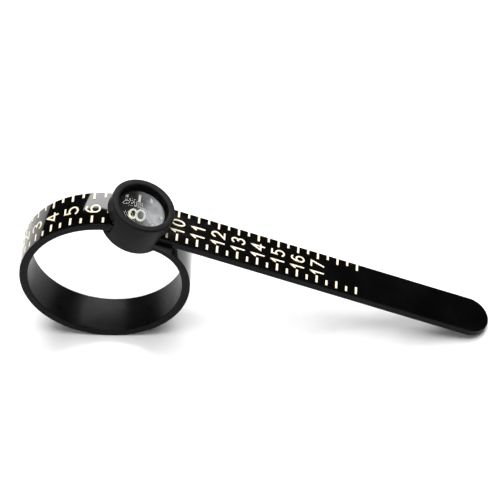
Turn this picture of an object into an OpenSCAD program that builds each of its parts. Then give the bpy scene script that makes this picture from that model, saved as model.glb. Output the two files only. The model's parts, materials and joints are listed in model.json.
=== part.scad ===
// Adjustable finger ring sizer: a flexible strap with a printed scale that is
// looped through a round lens housing. The size is read under the lens.
//
// Everything is first drawn in the housing's own frame: the origin on the
// strap's centre line under the lens, +X along the straight end of the strap,
// +Y across the strap and +Z towards the lens. place() then tilts that frame
// so that the loop and the strap's tip both rest on the ground, and moves the
// origin to the middle of the footprint.

/* [Strap] */
// Width of the strap
strap_w = 5.1; // [4.7:0.1:5.2]
// Thickness of the strap
strap_t = 1.0; // [0.85:0.05:1.0]
// Plain length beyond the last tick, up to the rounded tip
plain_end = 17.3; // [8:0.1:30]

/* [Finger loop] */
// Radius of the loop's centre line
loop_r = 9.8; // [9.7:0.05:10.2]
// Radius of the tighter bend that leads into the fixed end
end_bend_r = 6.2; // [6:0.1:6.6]
// How far the fixed end lies below the sliding strap, centre to centre
end_drop = 1.52; // [1.5:0.01:1.55]
// Distance from the lens axis back to where the strap starts to bend
bend_start = 0.45; // [0.3:0.05:0.6]

/* [Scale] */
// Ring size that stands under the lens
read_size = 8; // [8:1:10]
// Last size that has a tick
last_size = 19; // [17:1:22]
// Sizes that the strap can slide each way from rest
travel_sizes = 1; // [0.5:0.25:1]
// Step in ring diameter from one size to the next
size_step = 0.8128; // [0.8:0.0001:0.83]
// Width of a tick, along the strap
tick_w = 0.28; // [0.2:0.01:0.35]
// Length of a tick at a full size
long_tick = 1.0; // [0.8:0.05:1.1]
// Length of a tick at a half size
short_tick = 0.7; // [0.5:0.05:0.8]
// Depth that a tick is stamped into the strap
tick_depth = 0.05; // [0.03:0.01:0.1]
// Distance from the front edge of the strap to its row of ticks
tick_margin = 0.38; // [0.2:0.01:0.5]

/* [Lens housing] */
// Outside diameter of the round housing
housing_d = 7.85; // [7.6:0.05:8.4]
// Height of the rim above the strap's centre line
rim_z = 2.45; // [2.1:0.05:2.6]
// Diameter of the recess that holds the lens
recess_d = 6.0; // [5.9:0.05:6.2]
// Height of the ledge that the lens sits on
ledge_z = 1.08; // [1.05:0.01:1.15]
// Diameter of the window below the lens
window_d = 5.3; // [5:0.05:5.5]
// Clearance all round the sliding strap
slot_gap = 0.12; // [0.08:0.01:0.14]
// How far the guide lip under the strap reaches from the lens axis
lip_reach = 5.1; // [4.8:0.1:5.2]
// Chamfer on the edges of the housing
edge = 0.2; // [0.1:0.05:0.25]

/* [Lens] */
// Thickness of the lens at its edge
lens_edge = 0.3; // [0.2:0.05:0.35]
// Height of the dome above the lens's edge
lens_dome = 0.7; // [0.4:0.05:0.7]

/* [Hidden] */
$fn = 96;

// A sliver of overlap, and how far a cut runs past the surface it opens
eps = 0.01;
over = 1;

// A sliver of a turn, so that the bend and the flat part of the end join
lap_angle = 0.05;

// Sizes and the scale
pitch = PI * size_step;
tip_s = (last_size - read_size) * pitch + plain_end;
tip_r = strap_w / 2;
half_t = strap_t / 2;

// The loop's centre line, from the lens leftwards: straight for bend_start,
// round the loop, through the tighter end bend, then straight to the anchor.
end_turn = acos(1 - end_drop / (loop_r - end_bend_r));
loop_turn = 360 - end_turn;
end_bend_x = -bend_start + (loop_r - end_bend_r) * sin(end_turn);
loop_x = -bend_start;
loop_z = -loop_r;

// The straight end begins just short of the bend. The loop piece begins where
// the bend does, and stops a travel short of the tighter bend, so that it can
// turn about the loop's centre by one travel each way.
tail_start = -0.2;
end_gap = 0.2;
travel = travel_sizes * pitch;
loop_stop = loop_turn - (travel + end_gap) / loop_r * 180 / PI;

// The fixed end inside the housing, and the housing's base, flush below it
anchor_x0 = -1.6;
base_z = -end_drop - half_t;
anchor_top = -end_drop + half_t;

// The guide lip between the sliding strap and the fixed end: where it leaves
// the body, its underside near the body, the height of its tip, and the low
// cheeks beside the strap
slot_floor = -half_t - slot_gap;
lip_root = 2.4;
lip_low_x = 3.7;
lip_low_z = -0.98;
lip_tip_z = -1.4;
lip_tip_back = 0.25;
cheek_t = 0.35;
cheek_top = -half_t + 0.15;

// The passage's floor: flat under the lens, then falling in two slopes to the
// mouth on the loop's side, and a shallow pocket that the start of the loop
// dips into when it has turned by one travel
flat_x = 1.2;
fall_x = -2.4;
fall_z = -0.86;
mouth_x = -3.4;
mouth_z = -1.24;
pocket_x = 2.38;
pocket_z = -0.93;

// Play round the lens in its recess, and round the fixed end
lens_gap = 0.03;
end_play = 0.03;

// The resting attitude: the loop and the tip's lower edge touch the ground
loop_out_r = loop_r + half_t;
tip_to_loop_x = tip_s - loop_x;
tip_to_loop_z = -half_t - loop_z;
tilt = atan(tip_to_loop_z / tip_to_loop_x)
     + asin(loop_out_r / norm([tip_to_loop_x, tip_to_loop_z]));
ground_z = -loop_x * sin(tilt) + loop_z * cos(tilt) - loop_out_r;
left_x = loop_x * cos(tilt) + loop_z * sin(tilt) - loop_out_r;
right_x = tip_s * cos(tilt) + half_t * sin(tilt);
middle_x = (left_x + right_x) / 2;

// ---- Placing ----

// Moves shapes from the housing's frame to the part's frame.
module place() {
    translate([-middle_x, 0, -ground_z]) rotate([0, tilt, 0]) children();
}

// Moves a shape drawn on flat strap, at the origin with its outer face up, to
// the point of the centre line that lies s from the lens, + towards the tip.
module at_strap(s) {
    turned = (-s - bend_start) / (loop_r * PI / 180);
    if (s > -bend_start)
        translate([s, 0, 0]) children();
    else
        translate([loop_x, 0, loop_z]) rotate([0, -turned, 0])
            translate([0, 0, loop_r]) children();
}

// Extrudes an X-Z outline across the strap.
module across(width) {
    rotate([90, 0, 0]) linear_extrude(width, center = true) children();
}

// ---- Strap ----

// Bent strap about a centre in the X-Z plane, from angle a0 to angle a1,
// counted from straight up towards -X.
module bent(centre_x, centre_z, radius, a0, a1) {
    translate([centre_x, 0, centre_z]) rotate([90, 0, 0])
        rotate([0, 0, 90 + a0]) rotate_extrude(angle = a1 - a0)
            translate([radius - half_t, -strap_w / 2]) square([strap_t, strap_w]);
}

// Flat strap from x0 to x1 with its centre line at height z.
module flat(x0, x1, z = 0) {
    translate([x0, -strap_w / 2, z - half_t]) cube([x1 - x0, strap_w, strap_t]);
}

// One pair of ticks at a size: one at each edge of the strap.
module tick_pair(size) {
    full = abs(size - round(size)) < eps;
    tick_len = full ? long_tick : short_tick;
    at_strap((size - read_size) * pitch) {
        translate([-tick_w / 2, strap_w / 2 - tick_len, half_t - tick_depth])
            cube([tick_w, tick_len + over, tick_depth + over]);
        translate([-tick_w / 2, tick_margin - strap_w / 2, half_t - tick_depth])
            cube([tick_w, tick_len, tick_depth + over]);
    }
}

// Stamped ticks at every half size from size_a up to size_b.
module ticks(size_a, size_b) {
    for (k = [ceil(2 * size_a) : floor(2 * size_b)]) tick_pair(k / 2);
}

// The straight, graduated end with its rounded tip.
module strap_tail() {
    color("#1b1b1d") place() difference() {
        union() {
            flat(tail_start, tip_s - tip_r);
            translate([tip_s - tip_r, 0, -half_t]) cylinder(r = tip_r, h = strap_t);
        }
        ticks(read_size + tail_start / pitch, last_size);
    }
}

// The strap round the finger, as one ring that turns about the loop's centre.
module strap_loop() {
    color("#1b1b1d") place() difference() {
        bent(loop_x, loop_z, loop_r, 0, loop_stop);
        ticks(1, read_size - bend_start / pitch);
    }
}

// The fixed end: the tighter bend and the flat part held in the housing.
module strap_end() {
    color("#1b1b1d") place() union() {
        bent(end_bend_x, -end_drop - end_bend_r, end_bend_r, loop_turn, 360 + lap_angle);
        flat(anchor_x0, end_bend_x + eps, -end_drop);
    }
}

// ---- Housing and lens ----

// The turned body with its recess and window.
module housing_body() {
    r = housing_d / 2;
    rotate_extrude() polygon([
        [window_d / 2, base_z], [r - edge, base_z], [r, base_z + edge],
        [r, rim_z - edge], [r - edge, rim_z],
        [recess_d / 2 + edge / 2, rim_z], [recess_d / 2, rim_z - edge / 2],
        [recess_d / 2, ledge_z], [window_d / 2, ledge_z]
    ]);
    translate([0, 0, base_z]) cylinder(d = window_d + eps, h = -base_z);
}

// The wedge-shaped lip that guides the strap out of the housing, with a low
// cheek on each side.
module guide_lip() {
    across(strap_w + 2 * slot_gap + 2 * cheek_t) polygon([
        [lip_root, anchor_top], [lip_low_x, lip_low_z], [lip_reach, lip_tip_z],
        [lip_reach - lip_tip_back, cheek_top], [lip_root, cheek_top]
    ]);
}

// Room for the sliding strap: straight under the lens and out over the lip,
// and falling away on the loop's side with the bend of the strap.
module slide_passage() {
    across(strap_w + 2 * slot_gap) polygon([
        [-housing_d, -slot_floor], [-housing_d, mouth_z - housing_d / 2], [mouth_x, mouth_z],
        [fall_x, fall_z], [-flat_x, slot_floor], [flat_x - bend_start, slot_floor],
        [pocket_x / 2, pocket_z + slot_gap], [pocket_x, pocket_z], [pocket_x, slot_floor],
        [housing_d, slot_floor], [housing_d, -slot_floor]
    ]);
}

// Room for the fixed end, open below and on the lip's side.
module end_passage() {
    across(strap_w + 2 * end_play)
        translate([anchor_x0, base_z - over])
            square([housing_d / 2 + end_play - anchor_x0, strap_t + over]);
}

// The housing: body and lip, cut by the passages.
module lens_housing() {
    color("#242426") place() difference() {
        union() {
            housing_body();
            guide_lip();
        }
        slide_passage();
        end_passage();
    }
}

// The plano-convex lens, resting on the ledge.
module magnifier_lens() {
    lens_r = recess_d / 2 - lens_gap;
    dome_r = (lens_r * lens_r + lens_dome * lens_dome) / (2 * lens_dome);
    color([0.85, 0.9, 0.92, 0.4]) place() translate([0, 0, ledge_z]) {
        cylinder(r = lens_r, h = lens_edge);
        translate([0, 0, lens_edge]) intersection() {
            translate([0, 0, lens_dome - dome_r]) sphere(r = dome_r);
            cylinder(r = lens_r, h = lens_dome + eps);
        }
    }
}

lens_housing();
magnifier_lens();
strap_tail();
strap_loop();
strap_end();
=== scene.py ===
import json
import math

import bmesh
import bpy
from mathutils import Matrix, Vector

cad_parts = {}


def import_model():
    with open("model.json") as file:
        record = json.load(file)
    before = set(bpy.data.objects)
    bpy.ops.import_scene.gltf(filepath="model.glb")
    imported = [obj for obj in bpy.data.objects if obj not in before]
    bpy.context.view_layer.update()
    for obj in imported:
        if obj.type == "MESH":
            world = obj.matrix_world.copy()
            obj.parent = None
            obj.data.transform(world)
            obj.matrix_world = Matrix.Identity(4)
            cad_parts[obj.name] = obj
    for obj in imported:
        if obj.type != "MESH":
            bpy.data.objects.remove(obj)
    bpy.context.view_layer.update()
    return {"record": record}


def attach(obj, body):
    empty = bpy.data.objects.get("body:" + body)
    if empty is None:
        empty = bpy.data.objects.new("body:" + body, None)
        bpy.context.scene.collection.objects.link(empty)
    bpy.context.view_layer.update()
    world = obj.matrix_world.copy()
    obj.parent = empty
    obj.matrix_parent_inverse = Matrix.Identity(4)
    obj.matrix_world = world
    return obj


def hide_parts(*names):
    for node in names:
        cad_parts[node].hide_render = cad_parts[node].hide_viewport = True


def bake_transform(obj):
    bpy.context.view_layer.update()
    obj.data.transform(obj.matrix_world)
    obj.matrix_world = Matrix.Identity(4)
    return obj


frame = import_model()

# All lengths below are millimetres in the housing's own frame unless a name
# says otherwise: p along the straight strap, y across it, n towards the lens.
MM = 0.001

# Strap, loop and scale
STRAP_W = 5.1
HALF_W = STRAP_W / 2
HALF_T = 0.5
STEP = 0.8128 * math.pi
READ_SIZE = 8
LAST_SIZE = 19
LAST_NUMERAL = 17
PLAIN_END = 17.3
TIP = (LAST_SIZE - READ_SIZE) * STEP + PLAIN_END
LOOP_R = 9.8
BEND_START = 0.45
END_BEND_R = 6.2
END_DROP = 1.52
ANCHOR_X0 = -1.6
END_TURN = math.acos(1 - END_DROP / (LOOP_R - END_BEND_R))
END_BEND_P = -BEND_START + (LOOP_R - END_BEND_R) * math.sin(END_TURN)
LOWER_EDGE_R = 0.12
UPPER_EDGE_R = 0.10
GROOVE, GROOVE_N = 0.02, -0.05
LOOP_SPLIT = math.pi
STEP_BACK = 0.12
STEP_N = 0.2

# Printed marks
MARK_SHIFT = -0.14
MARK_H = 0.04
MARK_SINK = 0.03
MARK_SHOULDER = 0.35
MARK_FLAT = 0.7
TICK_W = 0.28
FAR_LONG, FAR_SHORT = 0.97, 0.67
NEAR_LONG, NEAR_SHORT = 1.05, 0.75
NEAR_MARGIN = 0.38
FAR_MARGIN = 0.08
DIGIT_H = 1.8
ONE_DIGIT_W = 1.35
TWO_DIGIT_W = 1.02
DIGIT_GAP = 0.24
STROKE_W = 0.23

# Housing and lens. The lip, passage and seat are (p, n) outlines.
HOUSING_R = 3.925
RIM_N = 2.45
BASE_N = -END_DROP - HALF_T
RECESS_R = 3.0
WINDOW_R = 2.65
LEDGE_N = 1.08
SLOT_GAP = 0.12
LENS_R = 2.96
LENS_EDGE = 0.3
LENS_DOME = 0.7
PIN_HOLE = 0.02
WINDOW_FLOOR_N = 0.1
RIM_LEAN = 0.06
TURNED_EDGE = 0.2
LIP_EDGE = 0.07
CUT_EDGE = 0.035
LIP_HALF_W = 3.0
SEAT_PLAY = 0.03
FAR = 3 * HOUSING_R
SLOT_N = HALF_T + SLOT_GAP
LIP = [(2.3, -0.98), (3.6, -1.0), (5.08, -1.4), (4.8, -0.4), (2.3, -0.4)]
PASSAGE = [(FAR, SLOT_N), (-FAR, SLOT_N), (-FAR, -5.0), (-3.4, -1.24), (-2.4, -0.86), (-1.2, -SLOT_N),
           (0.75, -SLOT_N), (1.19, -0.81), (2.38, -0.93), (2.38, -SLOT_N), (FAR, -SLOT_N)]
SEAT_TOP = SEAT_PLAY - END_DROP + HALF_T
SEAT_RIGHT = HOUSING_R + SEAT_PLAY
SEAT = [(ANCHOR_X0, -4.0), (SEAT_RIGHT, -4.0), (SEAT_RIGHT, SEAT_TOP), (ANCHOR_X0, SEAT_TOP)]

# The housing's frame, taken from the flat rim that the record places
mounts = frame["record"]["mounts"]
rim = next(m for m in mounts if m["name"] == "lens_rim")
N_AXIS = Vector(rim["axis"]).normalized()
T_AXIS = Vector((N_AXIS.z, 0, -N_AXIS.x))
ORIGIN = Vector((rim["pos_m"][0], 0, rim["pos_m"][2])) - N_AXIS * RIM_N * MM


def world(p, y, n):
    """A point of the housing's frame, in metres in the shared frame."""
    return ORIGIN + (T_AXIS * p + N_AXIS * n + Vector((0, y, 0))) * MM


def on_strap(s, y, h):
    """A point s along the strap's centre line and h above it, on the flat or round the loop."""
    if s >= -BEND_START:
        return world(s, y, h)
    a = (-s - BEND_START) / LOOP_R
    r = LOOP_R + h
    return world(-BEND_START - r * math.sin(a), y, -LOOP_R + r * math.cos(a))


# ---- Materials ----

def node(tree, kind, **values):
    """Adds a shader node and sets its properties and inputs by name."""
    made = tree.nodes.new(kind)
    for key, value in values.items():
        if hasattr(made, key):
            setattr(made, key, value)
        else:
            made.inputs[key.replace("_", " ")].default_value = value
    return made


def new_material(name):
    """An empty node material with its output node and object coordinates."""
    mat = bpy.data.materials.new(name)
    mat.use_nodes = True
    tree = mat.node_tree
    tree.nodes.clear()
    out = node(tree, "ShaderNodeOutputMaterial")
    coords = node(tree, "ShaderNodeTexCoord").outputs["Object"]
    return mat, tree, out, coords


def noise(tree, coords, scale, detail=3.0):
    """A noise value whose features are about 1000 / scale millimetres wide."""
    tex = node(tree, "ShaderNodeTexNoise", Scale=scale, Detail=detail)
    tree.links.new(coords, tex.inputs["Vector"])
    return tex.outputs["Fac"]


def ramp(tree, value, low, high, start=0.35, end=0.65):
    """A colour that runs from low to high as value runs from start to end."""
    made = node(tree, "ShaderNodeValToRGB")
    stops = made.color_ramp.elements
    stops[0].position, stops[0].color = start, (*low, 1)
    stops[1].position, stops[1].color = end, (*high, 1)
    tree.links.new(value, made.inputs["Fac"])
    return made.outputs["Color"]


def span(tree, value, low, high, start=0.3, end=0.7):
    """A number that runs from low to high as value runs from start to end."""
    made = node(tree, "ShaderNodeMapRange")
    made.inputs["From Min"].default_value = start
    made.inputs["From Max"].default_value = end
    made.inputs["To Min"].default_value = low
    made.inputs["To Max"].default_value = high
    tree.links.new(value, made.inputs["Value"])
    return made.outputs["Result"]


def plastic(name, low, high, rough_low, rough_high, grain, bump, specular=0.5):
    """Moulded plastic: mottled colour, uneven gloss and a fine surface grain."""
    mat, tree, out, coords = new_material(name)
    shader = node(tree, "ShaderNodeBsdfPrincipled")
    shader.inputs["Specular IOR Level"].default_value = specular
    broad = noise(tree, coords, 260)
    tree.links.new(ramp(tree, broad, low, high), shader.inputs["Base Color"])
    gloss = noise(tree, coords, 700, 5)
    tree.links.new(span(tree, gloss, rough_low, rough_high), shader.inputs["Roughness"])
    relief = node(tree, "ShaderNodeBump", Strength=bump)
    relief.inputs["Distance"].default_value = 0.02 * MM
    tree.links.new(noise(tree, coords, grain, 4), relief.inputs["Height"])
    tree.links.new(relief.outputs["Normal"], shader.inputs["Normal"])
    tree.links.new(shader.outputs["BSDF"], out.inputs["Surface"])
    return mat


HAZE_CLEAN, HAZE_SMUDGED = 0.02, 0.75
HAZE_START, HAZE_END = -0.9, 2.4
LENS_IOR = 1.56
LENS_GLINT = 0.35


def lens_material():
    """Clear acrylic with a light haze and smudges.

    Shadow rays and reflected rays pass straight through it. Its glint shows only to the camera.
    """
    mat, tree, out, coords = new_material("clear_acrylic")
    path = node(tree, "ShaderNodeLightPath")
    bent = node(tree, "ShaderNodeBsdfRefraction", Color=(0.96, 0.98, 0.98, 1), Roughness=0.01, IOR=LENS_IOR)
    glint = node(tree, "ShaderNodeBsdfGlossy", Roughness=0.05)
    fresnel = node(tree, "ShaderNodeFresnel", IOR=LENS_IOR)
    share = node(tree, "ShaderNodeMath", operation="MULTIPLY")
    share.inputs[1].default_value = LENS_GLINT
    tree.links.new(fresnel.outputs["Fac"], share.inputs[0])
    seen_share = node(tree, "ShaderNodeMath", operation="MULTIPLY")
    tree.links.new(share.outputs["Value"], seen_share.inputs[0])
    tree.links.new(path.outputs["Is Camera Ray"], seen_share.inputs[1])
    clear = node(tree, "ShaderNodeMixShader")
    tree.links.new(seen_share.outputs["Value"], clear.inputs["Fac"])
    tree.links.new(bent.outputs["BSDF"], clear.inputs[1])
    tree.links.new(glint.outputs["BSDF"], clear.inputs[2])
    haze = node(tree, "ShaderNodeBsdfDiffuse", Color=(0.33, 0.33, 0.34, 1))
    along = node(tree, "ShaderNodeVectorMath", operation="DOT_PRODUCT")
    tree.links.new(coords, along.inputs[0])
    along.inputs[1].default_value = T_AXIS
    middle = ORIGIN.dot(T_AXIS)
    clean_at, smudged_at = middle + HAZE_START * MM, middle + HAZE_END * MM
    side = span(tree, along.outputs["Value"], low=0, high=1, start=clean_at, end=smudged_at)
    mottle = noise(tree, coords, scale=520, detail=6)
    smudge = span(tree, mottle, low=0.45, high=1.2, start=0.38, end=0.62)
    both = node(tree, "ShaderNodeMath", operation="MULTIPLY")
    tree.links.new(side, both.inputs[0])
    tree.links.new(smudge, both.inputs[1])
    amount = span(tree, both.outputs["Value"], HAZE_CLEAN, HAZE_SMUDGED, start=0, end=1)
    hazed = node(tree, "ShaderNodeMixShader")
    tree.links.new(amount, hazed.inputs["Fac"])
    tree.links.new(clear.outputs["Shader"], hazed.inputs[1])
    tree.links.new(haze.outputs["BSDF"], hazed.inputs[2])
    through = node(tree, "ShaderNodeBsdfTransparent", Color=(0.85, 0.87, 0.88, 1))
    final = node(tree, "ShaderNodeMixShader")
    passing = node(tree, "ShaderNodeMath", operation="MAXIMUM")
    tree.links.new(path.outputs["Is Shadow Ray"], passing.inputs[0])
    tree.links.new(path.outputs["Is Reflection Ray"], passing.inputs[1])
    tree.links.new(passing.outputs["Value"], final.inputs["Fac"])
    tree.links.new(hazed.outputs["Shader"], final.inputs[1])
    tree.links.new(through.outputs["BSDF"], final.inputs[2])
    tree.links.new(final.outputs["Shader"], out.inputs["Surface"])
    return mat


STRAP_FACE = plastic(
    "strap_gloss", (0.0008,) * 3, (0.002,) * 3,
    rough_low=0.05, rough_high=0.085, grain=1800, bump=0.04
)
STRAP_SIDE = plastic(
    "strap_satin", (0.002,) * 3, (0.004, 0.004, 0.0045),
    rough_low=0.26, rough_high=0.34, grain=2600, bump=0.05, specular=0.07
)
HOUSING = plastic(
    "housing_satin", (0.0025,) * 3, (0.005, 0.005, 0.0055),
    rough_low=0.32, rough_high=0.46, grain=3200, bump=0.25, specular=0.1
)
FOIL = plastic(
    "foil_cream", (0.74, 0.69, 0.56), (0.86, 0.82, 0.71),
    rough_low=0.3, rough_high=0.5, grain=3000, bump=0.3
)
# Darker gold for the marks' sloped sides and ends: painted shade on the sides of the raised strokes
FOIL_SIDE_SHADE = plastic(
    "foil_gold_side_shade", (0.50, 0.38, 0.18), (0.70, 0.56, 0.32),
    rough_low=0.25, rough_high=0.4, grain=3000, bump=0.2
)
FLOOR = plastic(
    "paper_white", (0.88,) * 3, (0.92,) * 3,
    rough_low=0.8, rough_high=0.95, grain=400, bump=0.02
)
LENS = lens_material()


# ---- Mesh helpers ----

def mesh_object(name, verts, faces, materials, face_material=None):
    """A mesh object in the shared frame, shaded smooth except over sharp edges."""
    mesh = bpy.data.meshes.new(name)
    mesh.from_pydata([tuple(v) for v in verts], [], faces)
    for mat in materials:
        mesh.materials.append(mat)
    if face_material:
        for poly, index in zip(mesh.polygons, face_material):
            poly.material_index = index
    obj = bpy.data.objects.new(name, mesh)
    bpy.context.scene.collection.objects.link(obj)
    tidy_normals(obj)
    return obj


def tidy_normals(obj, angle=math.radians(35)):
    """Turns faces outward and marks edges sharper than angle."""
    bm = bmesh.new()
    bm.from_mesh(obj.data)
    bmesh.ops.recalc_face_normals(bm, faces=bm.faces)
    for face in bm.faces:
        face.smooth = True
    for edge in bm.edges:
        edge.smooth = len(edge.link_faces) == 2 and edge.calc_face_angle() < angle
    bm.to_mesh(obj.data)
    bm.free()


def rings_to_mesh(rings, closed=False):
    """Faces between rings of equal length, with end caps unless the row of rings is closed."""
    size = len(rings[0])
    verts = [v for ring in rings for v in ring]
    faces = []
    last = len(rings) if closed else len(rings) - 1
    for i in range(last):
        a, b = i * size, ((i + 1) % len(rings)) * size
        for k in range(size):
            m = (k + 1) % size
            faces.append((a + k, a + m, b + m, b + k))
    if not closed:
        faces.append(tuple(range(size))[::-1])
        faces.append(tuple(range(len(verts) - size, len(verts))))
    return verts, faces


def edge_levels():
    """(inset, height) up the strap's side: rounded lower edge, fine moulding line, rounded upper edge."""
    levels = []
    for k in range(5):
        a = k / 4 * math.pi / 2
        height = -HALF_T + LOWER_EDGE_R * (1 - math.cos(a))
        levels.append((LOWER_EDGE_R * (1 - math.sin(a)), height))
    levels += [(0, GROOVE_N - 2 * GROOVE), (GROOVE, GROOVE_N - GROOVE)]
    levels += [(GROOVE, GROOVE_N + GROOVE), (0, GROOVE_N + 2 * GROOVE)]
    levels += [(0, STEP_N - 0.01), (0, STEP_N)]
    for k in range(5):
        a = k / 4 * math.pi / 2
        levels.append((UPPER_EDGE_R * (1 - math.cos(a)), HALF_T - UPPER_EDGE_R * (1 - math.sin(a))))
    return levels


# ---- Strap ----

def strap_tail():
    """The straight, graduated end with its round tip, built up as a stack of outlines.

    Its start lies in the housing and is stepped back below, where the loop's start turns past it.
    """
    rings = []
    tip_p = TIP - HALF_W
    for inset, height in edge_levels():
        r = HALF_W - inset
        start = -BEND_START if height >= STEP_N else STEP_BACK - BEND_START
        ring = [world(start, -r, height)]
        for k in range(49):
            a = -math.pi / 2 + k / 48 * math.pi
            ring.append(world(tip_p + r * math.cos(a), r * math.sin(a), height))
        ring.append(world(start, r, height))
        rings.append(ring)
    verts, faces = rings_to_mesh(rings)
    kinds = [1] * (len(faces) - 1) + [0]
    obj = mesh_object("strap_tail_body", verts, faces, [STRAP_FACE, STRAP_SIDE], kinds)
    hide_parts("strap_tail")
    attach(obj, "tail")


def bent_strap(name, stations):
    """Strap swept along (p, n, angle) stations. The angle is how far its outer face has turned."""
    levels = edge_levels()
    section = [(HALF_W - i, h) for i, h in levels] + [(i - HALF_W, h) for i, h in reversed(levels)]
    rings = []
    for p, n, a in stations:
        out_p, out_n = -math.sin(a), math.cos(a)
        rings.append([world(p + h * out_p, y, n + h * out_n) for y, h in section])
    verts, faces = rings_to_mesh(rings)
    top = len(levels) - 1
    kinds = [0 if k % len(section) == top else 1 for k in range(len(faces) - 2)] + [1, 1]
    obj = mesh_object(name, verts, faces, [STRAP_FACE, STRAP_SIDE], kinds)
    return obj


def arc(centre_p, centre_n, radius, start, end, count):
    """Stations round a centre, from angle start to end, counted from straight up towards -p."""
    made = []
    for k in range(count + 1):
        a = start + (end - start) * k / count
        made.append((centre_p - radius * math.sin(a), centre_n + radius * math.cos(a), a))
    return made


def strap_loop():
    """The loop: its first half travels with the strap, and the rest eases into the fixed end."""
    first = bent_strap("strap_loop_outer", arc(-BEND_START, -LOOP_R, LOOP_R, 0, LOOP_SPLIT, 120))
    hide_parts("strap_loop")
    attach(first, "loop")
    full = 2 * math.pi
    rest = arc(-BEND_START, -LOOP_R, LOOP_R, LOOP_SPLIT, full - END_TURN, 84)
    rest += arc(END_BEND_P, -END_DROP - END_BEND_R, END_BEND_R, full - END_TURN, full, 42)[1:]
    rest.append((ANCHOR_X0, -END_DROP, full))
    last = bent_strap("strap_loop_return", rest)
    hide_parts("strap_end")
    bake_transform(last)


# ---- Printed scale ----

def circle_points(cu, cv, ru, rv, start, end, count=14):
    """Points of an elliptical arc, angles in degrees counted from +u."""
    made = []
    for k in range(count + 1):
        a = math.radians(start + (end - start) * k / count)
        made.append((cu + ru * math.cos(a), cv + rv * math.sin(a)))
    return made


def glyph(digit):
    """A numeral's strokes in a box 1 wide and 1 high about its middle: (points, closed)."""
    if digit == "0":
        return [(circle_points(0, 0, 0.5, 0.5, 0, 360, 32)[:-1], True)]
    if digit == "1":
        return [([(0.1, -0.5), (0.1, 0.5), (-0.28, 0.18)], False)]
    if digit == "2":
        top = circle_points(0, 0.19, 0.46, 0.31, 165, -35)
        return [(top + [(-0.48, -0.5), (0.5, -0.5)], False)]
    if digit == "3":
        top = circle_points(-0.02, 0.25, 0.42, 0.25, 150, -80)
        return [(top, False), (circle_points(-0.02, -0.23, 0.48, 0.27, 85, -150), False)]
    if digit == "4":
        return [([(0.5, -0.2), (-0.5, -0.2), (0.2, 0.5), (0.2, -0.5)], False)]
    if digit == "5":
        bowl = circle_points(-0.02, -0.17, 0.5, 0.33, 125, -145, 18)
        return [([(0.42, 0.5), (-0.3, 0.5)] + bowl, False)]
    if digit == "6":
        bowl = circle_points(0, -0.19, 0.48, 0.31, 0, 360, 24)[:-1]
        return [(bowl, True), (circle_points(0.06, -0.1, 0.54, 0.6, 180, 62, 14), False)]
    if digit == "7":
        return [([(-0.5, 0.5), (0.5, 0.5), (-0.12, -0.5)], False)]
    if digit == "8":
        low = circle_points(0, -0.22, 0.5, 0.28, 0, 360, 28)[:-1]
        return [(circle_points(0, 0.28, 0.4, 0.22, 0, 360, 24)[:-1], True), (low, True)]
    bowl = circle_points(0, 0.19, 0.48, 0.31, 0, 360, 24)[:-1]
    return [(bowl, True), (circle_points(-0.06, 0.1, 0.54, 0.6, 0, -118, 14), False)]


def finer(points, closed, step=0.12):
    """The same line with points at most step apart, so that it can follow the bent strap."""
    ends = points + [points[0]] if closed else points
    made = []
    for a, b in zip(ends, ends[1:]):
        parts = max(1, math.ceil(math.dist(a, b) / step))
        for k in range(parts):
            t = k / parts
            made.append((a[0] + (b[0] - a[0]) * t, a[1] + (b[1] - a[1]) * t))
    return made if closed else made + [ends[-1]]


def side_of(points, i, closed):
    """The mitred sideways vector of unit half-width at point i of a line."""
    count = len(points)
    before = points[i - 1] if i > 0 or closed else None
    after = points[(i + 1) % count] if i < count - 1 or closed else None
    here = Vector(points[i])
    dirs = []
    if before:
        dirs.append((here - Vector(before)).normalized())
    if after:
        dirs.append((Vector(after) - here).normalized())
    mean = sum(dirs, Vector((0, 0))).normalized()
    square = Vector((-mean.y, mean.x))
    stretch = 1 / max(0.5, mean.dot(dirs[0]))
    return square * stretch, mean


def stroke(points, closed, width, batch, round_ends=True):
    """Adds one raised, soft-edged stroke, drawn in (s, y), to a batch of meshes."""
    line = finer(points, closed)
    half = width / 2
    stations = []
    for i, point in enumerate(line):
        side, along = side_of(line, i, closed)
        stations.append((Vector(point), side, along, 1.0))
    if not closed and round_ends:
        stations = [*end_cap(stations[0], -half)[::-1], *stations, *end_cap(stations[-1], half)]
    shoulder = MARK_H * MARK_SHOULDER
    profile = [(-1, -MARK_SINK), (-1, shoulder), (-MARK_FLAT, MARK_H),
               (MARK_FLAT, MARK_H), (1, shoulder), (1, -MARK_SINK)]
    rings = []
    for middle, side, along, narrow in stations:
        ring = []
        for across, height in profile:
            at = middle + side * across * half * narrow
            ring.append(on_strap(at.x, at.y, HALF_T + height))
        rings.append(ring)
    verts, faces = rings_to_mesh(rings, closed)
    start = len(batch["verts"])
    batch["verts"] += verts
    batch["faces"] += [tuple(start + v for v in f) for f in faces]
    # A stroke's flat top gets the cream foil. Its sloped sides and ends get the darker gold, which is
    # painted shade.
    batch["kinds"] += [0 if len(f) == 4 and k % len(profile) == 2 else 1 for k, f in enumerate(faces)]


def end_cap(station, reach):
    """Narrowing stations that round a stroke's end off."""
    middle, side, along, _ = station
    made = []
    for k in range(1, 4):
        a = k / 4 * math.pi / 2
        made.append((middle + along * reach * math.sin(a), side, along, math.cos(a)))
    return made


def numeral(size, batch):
    """The number of a full size, reading across the strap."""
    text = str(size)
    width = ONE_DIGIT_W if len(text) == 1 else TWO_DIGIT_W
    middle = (size - READ_SIZE) * STEP + MARK_SHIFT
    pitch = width + DIGIT_GAP
    for k, digit in enumerate(text):
        offset = (k - (len(text) - 1) / 2) * pitch
        for points, closed in glyph(digit):
            high = DIGIT_H - STROKE_W
            wide = width - STROKE_W
            drawn = [(middle - v * high, offset + u * wide) for u, v in points]
            stroke(drawn, closed, STROKE_W, batch)


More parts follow.
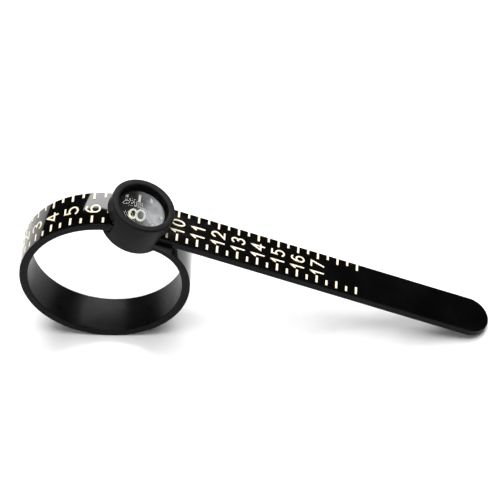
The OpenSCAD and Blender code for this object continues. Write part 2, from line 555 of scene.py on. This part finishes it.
def tick_pair(half_sizes, batch):
    """The ticks at both edges of the strap, longer at a full size."""
    s = (half_sizes / 2 - READ_SIZE) * STEP + MARK_SHIFT
    full = half_sizes % 2 == 0
    far = FAR_LONG if full else FAR_SHORT
    near = NEAR_LONG if full else NEAR_SHORT
    start = HALF_W - FAR_MARGIN
    stroke([(s, start - far), (s, start)], False, TICK_W, batch, round_ends=False)
    start = NEAR_MARGIN - HALF_W
    stroke([(s, start), (s, start + near)], False, TICK_W, batch, round_ends=False)


def marks(name, first_half_size, last_half_size, body):
    """One object with all the marks that travel with one body."""
    batch = {"verts": [], "faces": [], "kinds": []}
    for half_sizes in range(first_half_size, last_half_size + 1):
        tick_pair(half_sizes, batch)
        if half_sizes % 2 == 0 and half_sizes // 2 <= LAST_NUMERAL:
            numeral(half_sizes // 2, batch)
    obj = mesh_object(name, batch["verts"], batch["faces"], [FOIL, FOIL_SIDE_SHADE], batch["kinds"])
    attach(obj, body)


# ---- Housing and lens ----

def rounded(profile, radius, count=4):
    """A closed outline with its corners rounded."""
    made = []
    for i, corner in enumerate(profile):
        here = Vector(corner)
        back = Vector(profile[i - 1]) - here
        ahead = Vector(profile[(i + 1) % len(profile)]) - here
        reach = min(radius, back.length * 0.45, ahead.length * 0.45)
        start, end = here + back.normalized() * reach, here + ahead.normalized() * reach
        for k in range(count + 1):
            t = k / count
            made.append(start * (1 - t) ** 2 + here * 2 * t * (1 - t) + end * t * t)
    return made


def turned(profile, count=128):
    """Rings of a closed (radius, height) outline turned about the lens's axis."""
    rings = []
    for k in range(count):
        a = 2 * math.pi * k / count
        rings.append([world(r * math.cos(a), r * math.sin(a), h) for r, h in profile])
    return rings_to_mesh(rings, closed=True)


def prism(name, outline, half_width):
    """A (p, n) outline pushed straight across the strap."""
    rings = [[world(p, y, n) for p, n in outline] for y in (-half_width, half_width)]
    verts, faces = rings_to_mesh(rings)
    return mesh_object(name, verts, faces, [HOUSING])


def combine(obj, other, operation):
    """Applies a boolean with another object, which is then removed."""
    step = obj.modifiers.new(operation, "BOOLEAN")
    step.operation = operation
    step.solver = "EXACT"
    step.object = other
    bpy.context.view_layer.objects.active = obj
    bpy.ops.object.modifier_apply(modifier=step.name)
    bpy.data.objects.remove(other)


def lens_housing():
    """The turned body and its guide lip, cut by the strap's passages."""
    outline = [(PIN_HOLE, BASE_N), (HOUSING_R, BASE_N), (HOUSING_R, RIM_N), (RECESS_R + RIM_LEAN, RIM_N),
               (RECESS_R, LEDGE_N), (WINDOW_R, LEDGE_N), (WINDOW_R, WINDOW_FLOOR_N),
               (PIN_HOLE, WINDOW_FLOOR_N)]
    verts, faces = turned(rounded(outline, TURNED_EDGE, 5))
    body = mesh_object("lens_housing_body", verts, faces, [HOUSING])
    combine(body, prism("lip", rounded(LIP, LIP_EDGE, 3), LIP_HALF_W), "UNION")
    combine(body, prism("passage", PASSAGE, HALF_W + SLOT_GAP), "DIFFERENCE")
    combine(body, prism("seat", SEAT, HALF_W + SEAT_PLAY), "DIFFERENCE")
    soften = body.modifiers.new("edges", "BEVEL")
    soften.width = CUT_EDGE * MM
    soften.segments = 2
    soften.limit_method = "ANGLE"
    soften.angle_limit = math.radians(50)
    bpy.ops.object.modifier_apply(modifier=soften.name)
    tidy_normals(body)
    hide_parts("lens_housing")
    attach(body, "housing")


def magnifier_lens():
    """A plano-convex lens with a softly rounded edge."""
    dome_r = (LENS_R ** 2 + LENS_DOME ** 2) / (2 * LENS_DOME)
    top = LEDGE_N + LENS_EDGE + LENS_DOME
    outline = [(0.01, LEDGE_N), (LENS_R - 0.05, LEDGE_N), (LENS_R, LEDGE_N + 0.05)]
    for k in range(25):
        r = LENS_R * (1 - k / 24) + 0.01 * k / 24
        outline.append((r, top - dome_r + math.sqrt(dome_r ** 2 - r ** 2)))
    verts, faces = turned(outline, 96)
    obj = mesh_object("magnifier_lens_body", verts, faces, [LENS])
    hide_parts("magnifier_lens")
    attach(obj, "housing")


# ---- Floor, light and camera ----

def floor():
    """A large pale sheet that the object stands on."""
    half = 2.5
    corners = [(-half, -half, 0), (half, -half, 0), (half, half, 0), (-half, half, 0)]
    mesh_object("floor_sheet", corners, [(0, 1, 2, 3)], [FLOOR])


def softbox(name, place_mm, width_mm, depth_mm, turn_deg, radiance):
    """A rectangular light that faces straight down; radiance is in multiples of white."""
    data = bpy.data.lights.new(name, "AREA")
    data.shape = "RECTANGLE"
    data.size = width_mm * MM
    data.size_y = depth_mm * MM
    data.energy = radiance * math.pi * data.size * data.size_y
    obj = bpy.data.objects.new(name, data)
    obj.location = Vector(place_mm) * MM
    obj.rotation_euler = (0, 0, math.radians(turn_deg))
    bpy.context.scene.collection.objects.link(obj)


def lights():
    """Softboxes above, behind and in front. The reflection of the one behind stands on top of the loop."""
    softbox(
        "softbox_above", place_mm=(0, 0, 600),
        width_mm=500, depth_mm=500, turn_deg=0, radiance=6.6
    )
    softbox(
        "softbox_behind", place_mm=(49, 503, 408),
        width_mm=537, depth_mm=350, turn_deg=-11.7, radiance=8.5
    )
    softbox(
        "softbox_front", place_mm=(-60, -420, 420),
        width_mm=500, depth_mm=260, turn_deg=0, radiance=2.2
    )
    world_data = bpy.data.worlds.new("studio")
    world_data.use_nodes = True
    back = world_data.node_tree.nodes["Background"]
    back.inputs["Color"].default_value = (0.02, 0.02, 0.02, 1)
    bpy.context.scene.world = world_data


# The point of the housing's frame that the camera looks at, its distance, its focal length, and the
# directions in the shared frame in which it looks and in which the picture's top lies
TARGET_P, TARGET_N = 14.27, 0.24
DISTANCE = 362
FOCAL_MM = 218.2
VIEW_LOOK = (-0.07641, 0.65098, -0.75520)
VIEW_UP = (-0.01146, 0.75683, 0.65351)


def camera():
    """The photo's viewpoint: from in front, above and a little to the right."""
    target = ORIGIN + (T_AXIS * TARGET_P + N_AXIS * TARGET_N) * MM
    look = Vector(VIEW_LOOK).normalized()
    right = look.cross(Vector(VIEW_UP)).normalized()
    up = right.cross(look)
    data = bpy.data.cameras.new("photo_view")
    data.lens = FOCAL_MM
    data.sensor_width = 36
    data.clip_start = 0.01
    obj = bpy.data.objects.new("photo_view", data)
    turn = Matrix((right, up, -look)).transposed().to_4x4()
    obj.matrix_world = Matrix.Translation(target - look * (DISTANCE * MM)) @ turn
    bpy.context.scene.collection.objects.link(obj)
    bpy.context.scene.camera = obj
    bpy.context.scene.view_settings.view_transform = "Standard"


strap_tail()
strap_loop()
marks("marks_loop", 2, 15, "loop")
marks("marks_tail", 16, 2 * LAST_SIZE, "tail")
lens_housing()
magnifier_lens()
floor()
lights()
camera()
